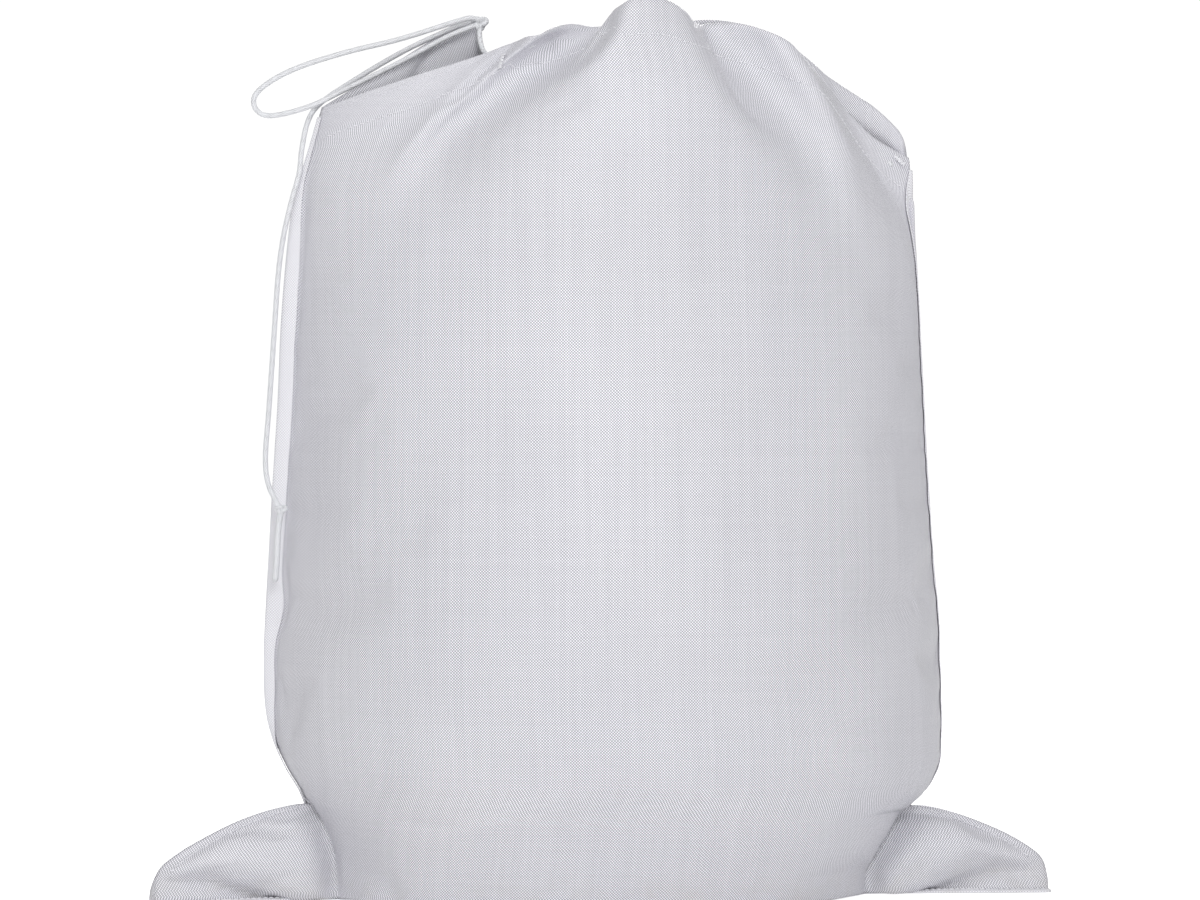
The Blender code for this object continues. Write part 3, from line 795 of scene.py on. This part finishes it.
# stitching under the casing, bar tacks and the cord inside it
for name, grid, run, side in (("front", front_grid, front_run, 1), ("back", back_grid, back_run, -1)):
    below = depth_below_rim(grid)
    rows = np.arange(len(grid), dtype=float)
    line, out = [], []
    normals = grid_normals(grid) * side
    for column in range(3, COLUMNS - 2):
        row = np.interp(-CASING_STITCH_DEPTH, -below[:, column], rows)
        low, share = int(row), row - int(row)
        line.append(grid[low, column] * (1 - share) + grid[low + 1, column] * share)
        out.append(normals[low, column])
    obj = stitch_row(f"{name}_casing_stitches", np.array(line), np.array(out))
    add_piece(obj, "sewing_thread", f"{name}_lip", f"{name}_casing_stitching")
    column = int(np.argmin(np.abs(grid[TACK_ROW, :, 0] - (OPENING_X - 0.004))))
    outwards = normals[TACK_ROW, column]
    obj = tack(f"{name}_opening_tack", grid[TACK_ROW, column] + outwards * 0.0003,
               grid[-1, column] - grid[-12, column], outwards)
    add_piece(obj, "sewing_thread", f"{name}_lip", f"{name}_opening_bar_tack")
    inside = run[:TURN_COLUMN][run[:TURN_COLUMN, 0] > OPENING_X + 0.006]
    start = np.array([KNOT_CENTRE, (-0.0668, -0.004 * side, 0.469), (-0.0645, -0.009 * side, 0.461),
                      (-0.0585, -0.021 * side, 0.4585)])
    path = smooth_line(np.concatenate((start, inside[2::6])), spacing=0.0005)
    obj = braided(f"cord_{name}_run", path, CORD_RADIUS, around=16)
    add_piece(obj, "braided_cord", f"{name}_lip", f"drawcord_{name}_run")

ends = [run[TURN_COLUMN - 2] for run in (front_run, back_run)]
middle = (ends[0] + ends[1]) / 2 + np.array([-0.001, 0.0, -0.008])
turn = smooth_line([ends[0] + (0.0012, 0.0004, -0.001), middle + (-0.001, -0.004, 0.001), middle,
                    middle + (-0.001, 0.004, 0.001), ends[1] + (0.0012, -0.0004, -0.001)], spacing=0.0004)
add_piece(braided("cord_turn", turn, CORD_RADIUS, around=16), "braided_cord", "bag", "drawcord_turn")

point = along_row(front_grid[-3], 0.007, True)
obj = tack("right_seam_tack", point + np.array([0.0, -0.0008, 0.0]), (1.0, 0.0, -0.9), (0.0, -1.0, 0.0), 0.007)
add_piece(obj, "sewing_thread", "bag", "right_seam_bar_tack")

knot = knot_piece("mouth_knot", KNOT_CENTRE, 0.00125, 0.0015)
stopper = knot_piece("stopper", STOPPER_CENTRE, 0.00085, 0.0012)
in_knot = np.array([KNOT_CENTRE])
loop_route = np.concatenate((in_knot + (0, -0.001, 0.001), LOOP_ROUTE, in_knot))
loop, loop_path = cord_piece("cord_loop", loop_route, CORD_RADIUS)
tail_route = np.concatenate((in_knot + (0, 0.001, 0), TAIL_ROUTE, [STOPPER_CENTRE]))
tail, tail_path = cord_piece("cord_tail", tail_route, CORD_RADIUS)
end, _ = cord_piece("cord_end", (STOPPER_CENTRE,) + TAIL_END_ROUTE, TAIL_END_RADIUS)
for obj, node in ((knot, "opening_knot"), (stopper, "stopper_knot"), (loop, "drawcord_loop"),
                  (tail, "drawcord_tail"), (end, "tail_end")):
    add_piece(obj, "braided_cord", "drawcord_end", node)

# ---- materials ----


def add_node(tree, kind, inputs=None, **settings):
    """A shader node with its settings, and its inputs as plain values or as links."""
    made = tree.nodes.new("ShaderNode" + kind)
    for name, value in settings.items():
        setattr(made, name, value)
    for place, value in (inputs or {}).items():
        if isinstance(value, bpy.types.NodeSocket):
            tree.links.new(value, made.inputs[place])
        else:
            made.inputs[place].default_value = value
    return made


def maths(tree, operation, *values):
    return add_node(tree, "Math", dict(enumerate(values)), operation=operation).outputs[0]


def times(tree, first, second):
    return maths(tree, "MULTIPLY", first, second)


def ranged(tree, value, low, high, to_low=0.0, to_high=1.0, kind="SMOOTHSTEP"):
    inputs = {"Value": value, "From Min": low, "From Max": high, "To Min": to_low, "To Max": to_high}
    return add_node(tree, "MapRange", inputs, interpolation_type=kind).outputs["Result"]


def blended(tree, share, first, second):
    """A colour between two others."""
    return add_node(tree, "Mix", {0: share, 6: first, 7: second}, data_type="RGBA").outputs[2]


def stretched(tree, vector, scale):
    return add_node(tree, "VectorMath", {0: vector, 1: scale}, operation="MULTIPLY").outputs[0]


def clouds(tree, vector, scale, detail=2.0, roughness=0.5):
    inputs = {"Vector": vector, "Scale": scale, "Detail": detail, "Roughness": roughness}
    return add_node(tree, "TexNoise", inputs).outputs["Fac"]


def new_group(name, inputs, outputs):
    """A shader node group with named sockets, and its input and output nodes."""
    group = bpy.data.node_groups.new(name, "ShaderNodeTree")
    for label, kind, value in inputs:
        socket = group.interface.new_socket(label, in_out="INPUT", socket_type="NodeSocket" + kind)
        if value is not None:
            socket.default_value = value
    for label, kind in outputs:
        group.interface.new_socket(label, in_out="OUTPUT", socket_type="NodeSocket" + kind)
    return group, group.nodes.new("NodeGroupInput").outputs, group.nodes.new("NodeGroupOutput").inputs


def put_out(group, result, *values):
    """Link values to a group's outputs, in their order."""
    for number, value in enumerate(values):
        group.links.new(value, result[number])


def plain_weave_group():
    """Warp and weft threads that pass over and under each other, from flat-cloth coordinates in metres."""
    group, given, result = new_group(
        "plain_weave", [("Cloth", "Vector", None), ("Threads", "Float", 1600.0)],
        [("Height", "Float"), ("Warp on top", "Float"), ("Thread tone", "Float")])
    wander = clouds(group, given["Cloth"], 60.0)
    places = add_node(group, "VectorMath", {0: given["Cloth"], "Scale": given["Threads"]},
                      operation="SCALE").outputs[0]
    parts = add_node(group, "SeparateXYZ", {0: places}).outputs
    waves, numbers = [], []
    for axis in ("X", "Y"):
        place = maths(group, "ADD", parts[axis], times(group, wander, 1.6))
        waves.append(maths(group, "SINE", times(group, place, math.pi)))
        numbers.append(add_node(group, "TexWhiteNoise", {"W": maths(group, "FLOOR", place)},
                                noise_dimensions="1D").outputs["Value"])
    crossing = times(group, *waves)
    over = ranged(group, crossing, -0.12, 0.12)
    warp, weft = (maths(group, "ABSOLUTE", wave) for wave in waves)
    profile = add_node(group, "Mix", {0: over, 2: weft, 3: warp}).outputs[0]
    float_rise = ranged(group, maths(group, "ABSOLUTE", crossing), 0.0, 1.0, 0.45, 1.0)
    thread_tone = add_node(group, "Mix", {0: over, 2: numbers[1], 3: numbers[0]}).outputs[0]
    put_out(group, result, times(group, profile, float_rise), over, thread_tone)
    return group


def cloth_tone_group():
    """Slow changes of tone over a cloth: clouds, slubs along warp and weft, and patches of darker, warmer grey near
    the floor.
    """
    group, given, result = new_group(
        "cloth_tone", [("Cloth", "Vector", None), ("Place", "Vector", None)],
        [("Tone", "Float"), ("Warmth", "Float"), ("Floor patches", "Float")])
    broad = ranged(group, clouds(group, given["Cloth"], 9.0, 3.0), 0.3, 0.7, -1.0, 1.0, "LINEAR")
    slubs = []
    for stretch in ((330.0, 7.0, 1.0), (6.0, 420.0, 1.0)):
        streaks = clouds(group, stretched(group, given["Cloth"], stretch), 1.0, 1.0)
        slubs.append(ranged(group, streaks, 0.3, 0.7, -1.0, 1.0, "LINEAR"))
    total = maths(group, "MULTIPLY_ADD", slubs[0], 0.35, times(group, slubs[1], 0.2))
    total = maths(group, "MULTIPLY_ADD", broad, 0.45, total)
    warmth = clouds(group, given["Cloth"], 5.0, 2.0)
    low = ranged(group, add_node(group, "SeparateXYZ", {0: given["Place"]}).outputs["Z"], 0.0, 0.03, 1.0, 0.0)
    floor_mottle = ranged(group, clouds(group, given["Place"], 55.0, 4.0, 0.6), 0.35, 0.75)
    put_out(group, result, total, warmth, times(group, low, floor_mottle))
    return group


def thread_twist_group():
    """Twisted fibres: fine slanting ridges and a change of tone from strand to strand."""
    group, given, result = new_group(
        "thread_twist", [("Place", "Vector", None), ("Ridges", "Float", 1500.0)],
        [("Height", "Float"), ("Tone", "Float")])
    turned = add_node(group, "VectorRotate", {"Vector": given["Place"], "Angle": 0.7, "Axis": (0.4, 1.0, 0.3)})
    ridges = add_node(group, "TexWave", {"Vector": turned.outputs[0], "Scale": given["Ridges"], "Distortion": 1.5,
                                         "Detail": 1.0})
    put_out(group, result, ridges.outputs["Fac"], clouds(group, given["Place"], 400.0, 2.0))
    return group


PLAIN_WEAVE, CLOTH_TONE, THREAD_TWIST = plain_weave_group(), cloth_tone_group(), thread_twist_group()


def placed(tree, group, **inputs):
    made = add_node(tree, "Group", {key.replace("_", " "): value for key, value in inputs.items()}, node_tree=group)
    return made.outputs


def new_material(name, roughness, constants):
    made = bpy.data.materials.new(name)
    made.use_nodes = True
    shader = made.node_tree.nodes["Principled BSDF"]
    shader.inputs["Roughness"].default_value = roughness
    for label, value in constants.items():
        shader.inputs[label].default_value = value
    return made, made.node_tree, shader.inputs


THREADS = 1300.0  # to the metre
GAP_SHADE = 0.16  # how much darker it is painted between two threads: painted shade in the gaps
WEFT_SHADE = 0.16  # the weft is painted darker than the warp: painted shade that stands for the warp's glint


def finish(tree, sockets, colour, roughness, height, strength, distance):
    """Give a shader its colour, its roughness and the relief of its threads."""
    relief = add_node(tree, "Bump", {"Strength": strength, "Distance": distance, "Height": height}).outputs[0]
    for label, value in (("Base Color", colour), ("Roughness", roughness), ("Normal", relief)):
        tree.links.new(value, sockets[label])


def woven_material(name, colour, shadow):
    """Fine woven mesh: painted shade in the gaps between the threads, and a painted glint, with the weft painted
    darker than the warp.
    """
    made, tree, sockets = new_material(name, 0.55, {
        "Sheen Weight": 0.12, "Sheen Roughness": 0.45, "Specular IOR Level": 0.45})
    cloth = add_node(tree, "UVMap", uv_map="UVMap").outputs[0]
    place = add_node(tree, "TexCoord").outputs["Object"]
    weave = placed(tree, PLAIN_WEAVE, Cloth=cloth, Threads=THREADS)
    tone = placed(tree, CLOTH_TONE, Cloth=cloth, Place=place)
    # Painted shade: darker in the gaps between threads and on the weft, so that the warp looks glinting; the thread
    # tone varies at random.
    thread = ranged(tree, weave["Height"], 0.1, 0.85, 1.0 - GAP_SHADE, 1.0)
    for part, least in (("Warp on top", WEFT_SHADE), ("Thread tone", 0.95)):
        thread = times(tree, thread, ranged(tree, weave[part], 0.0, 1.0, least, 1.0, "LINEAR"))
    shade = maths(tree, "MULTIPLY_ADD", tone["Tone"], 0.055, thread)
    bright = blended(tree, tone["Warmth"], (colour[0] * 0.99, colour[1] * 0.99, colour[2] * 1.015, 1),
                     (colour[0] * 1.015, colour[1] * 1.01, colour[2], 1))
    cloth_colour = blended(tree, shade, (*shadow, 1), bright)
    # Darker, warmer grey in patches towards the floor.
    floor_greyed = blended(tree, times(tree, tone["Floor patches"], 0.3), cloth_colour, (0.52, 0.5, 0.47, 1))
    glint = ranged(tree, weave["Warp on top"], 0.0, 1.0, 0.52, 0.38, "LINEAR")
    roughness = maths(tree, "MULTIPLY_ADD", tone["Floor patches"], 0.25, glint)
    finish(tree, sockets, floor_greyed, roughness, weave["Height"], 0.25, 0.00016)
    return made


def thread_material(name, colour, ridges):
    """Polyester sewing thread."""
    made, tree, sockets = new_material(name, 0.4, {"Sheen Weight": 0.1, "Specular IOR Level": 0.5})
    place = add_node(tree, "TexCoord").outputs["Object"]
    twist = placed(tree, THREAD_TWIST, Place=place, Ridges=ridges)
    # Painted shade in the grooves between the twist's ridges, and a tone that changes at random from strand to
    # strand.
    shade = maths(tree, "MULTIPLY_ADD", twist["Height"], 0.45, times(tree, twist["Tone"], 0.8))
    groove_shaded_thread = blended(tree, shade, (*(part * 0.74 for part in colour), 1), (*colour, 1))
    finish(tree, sockets, groove_shaded_thread, ranged(tree, twist["Tone"], 0.3, 0.7, 0.34, 0.52), twist["Height"], 0.4, 0.00008)
    return made


def cord_material(name, colour):
    """Braided cord: bright strands with painted shade, grey, in the grooves between them."""
    made, tree, sockets = new_material(name, 0.42, {"Sheen Weight": 0.08, "Specular IOR Level": 0.5})
    place = add_node(tree, "TexCoord").outputs["Object"]
    twist = placed(tree, THREAD_TWIST, Place=place, Ridges=900.0)
    strand = add_node(tree, "Attribute", attribute_name="strand").outputs["Fac"]
    crown = ranged(tree, strand, 0.05, 0.85, 0.0, 1.0)
    # Painted shade: the colour darkens towards the grooves between the strands; the twist tone varies at random.
    shade = times(tree, crown, ranged(tree, twist["Tone"], 0.25, 0.75, 0.82, 1.0))
    strands = blended(tree, shade, (*(part * 0.5 for part in colour), 1), (*colour, 1))
    roughness = ranged(tree, crown, 0.0, 1.0, 0.62, 0.36, "LINEAR")
    finish(tree, sockets, strands, roughness, twist["Height"], 0.35, 0.0001)
    return made


FINISHES = {
    "mesh_fabric": woven_material("woven_mesh", (0.965, 0.96, 1.0), (0.25, 0.25, 0.29)),
    "seam_fabric": woven_material("doubled_mesh", (0.975, 0.97, 1.0), (0.54, 0.54, 0.58)),
    "sewing_thread": thread_material("sewing_thread", (0.88, 0.88, 0.92), 1500.0),
    "braided_cord": cord_material("braided_cord", (0.84, 0.85, 0.88)),
}
for obj, slot in pieces:
    obj.data.materials.append(FINISHES[slot])

# ---- stage ----


VIEW_WIDTH = 0.6535  # what the camera takes in at its target


def add_camera():
    distance, azimuth, elevation = 3.2, math.radians(-6.0), math.radians(1.4)
    target = Vector((-0.0026, -0.02, 0.2447))
    back = Vector((math.sin(azimuth) * math.cos(elevation), -math.cos(azimuth) * math.cos(elevation),
                   math.sin(elevation)))
    data = bpy.data.cameras.new("camera")
    data.sensor_width = 36.0
    data.lens = data.sensor_width * distance / VIEW_WIDTH
    camera = linked("camera", data)
    camera.location = target + back * distance
    camera.rotation_euler = (-back).to_track_quat("-Z", "Y").to_euler()
    bpy.context.scene.camera = camera


def add_light(name, place, target, size, power):
    data = bpy.data.lights.new(name, "AREA")
    data.shape = "RECTANGLE"
    data.size, data.size_y = size
    data.energy = power
    light = linked(name, data)
    light.location = place
    light.rotation_euler = (Vector(target) - Vector(place)).to_track_quat("-Z", "Y").to_euler()


def brighter_to_camera(tree, low, high):
    """One strength for the light that something sheds, and another for how bright it looks."""
    rays = add_node(tree, "LightPath").outputs["Is Camera Ray"]
    return add_node(tree, "MapRange", {"Value": rays, "To Min": low, "To Max": high}).outputs["Result"]


def add_stage():
    shape = bmesh.new()
    bmesh.ops.create_grid(shape, x_segments=4, y_segments=4, size=6.0)
    mesh = bpy.data.meshes.new("floor")
    shape.to_mesh(mesh)
    shape.free()
    surface, tree, sockets = new_material(
        "floor", 0.9, {"Base Color": (0.9, 0.9, 0.9, 1), "Emission Color": (1, 1, 1, 1)})
    tree.links.new(brighter_to_camera(tree, 0.17, 0.75), sockets["Emission Strength"])
    mesh.materials.append(surface)
    linked("floor", mesh)
    world = bpy.data.worlds.new("studio")
    world.use_nodes = True
    tree = world.node_tree
    sockets = tree.nodes["Background"].inputs
    sockets["Color"].default_value = (1, 1, 1, 1)
    tree.links.new(brighter_to_camera(tree, 0.5, 1.05), sockets["Strength"])
    bpy.context.scene.world = world
    add_light("key", (-0.1, -2.4, 1.0), (0, 0, 0.25), (0.6, 0.6), 18.5)
    add_light("top", (-0.25, -1.3, 2.1), (-0.02, 0, 0.45), (0.9, 0.9), 10)
    add_light("back", (0.5, 2.4, 1.2), (0, 0, 0.25), (0.9, 0.9), 20)
    bpy.context.scene.view_settings.view_transform = "Standard"


add_camera()
add_stage()
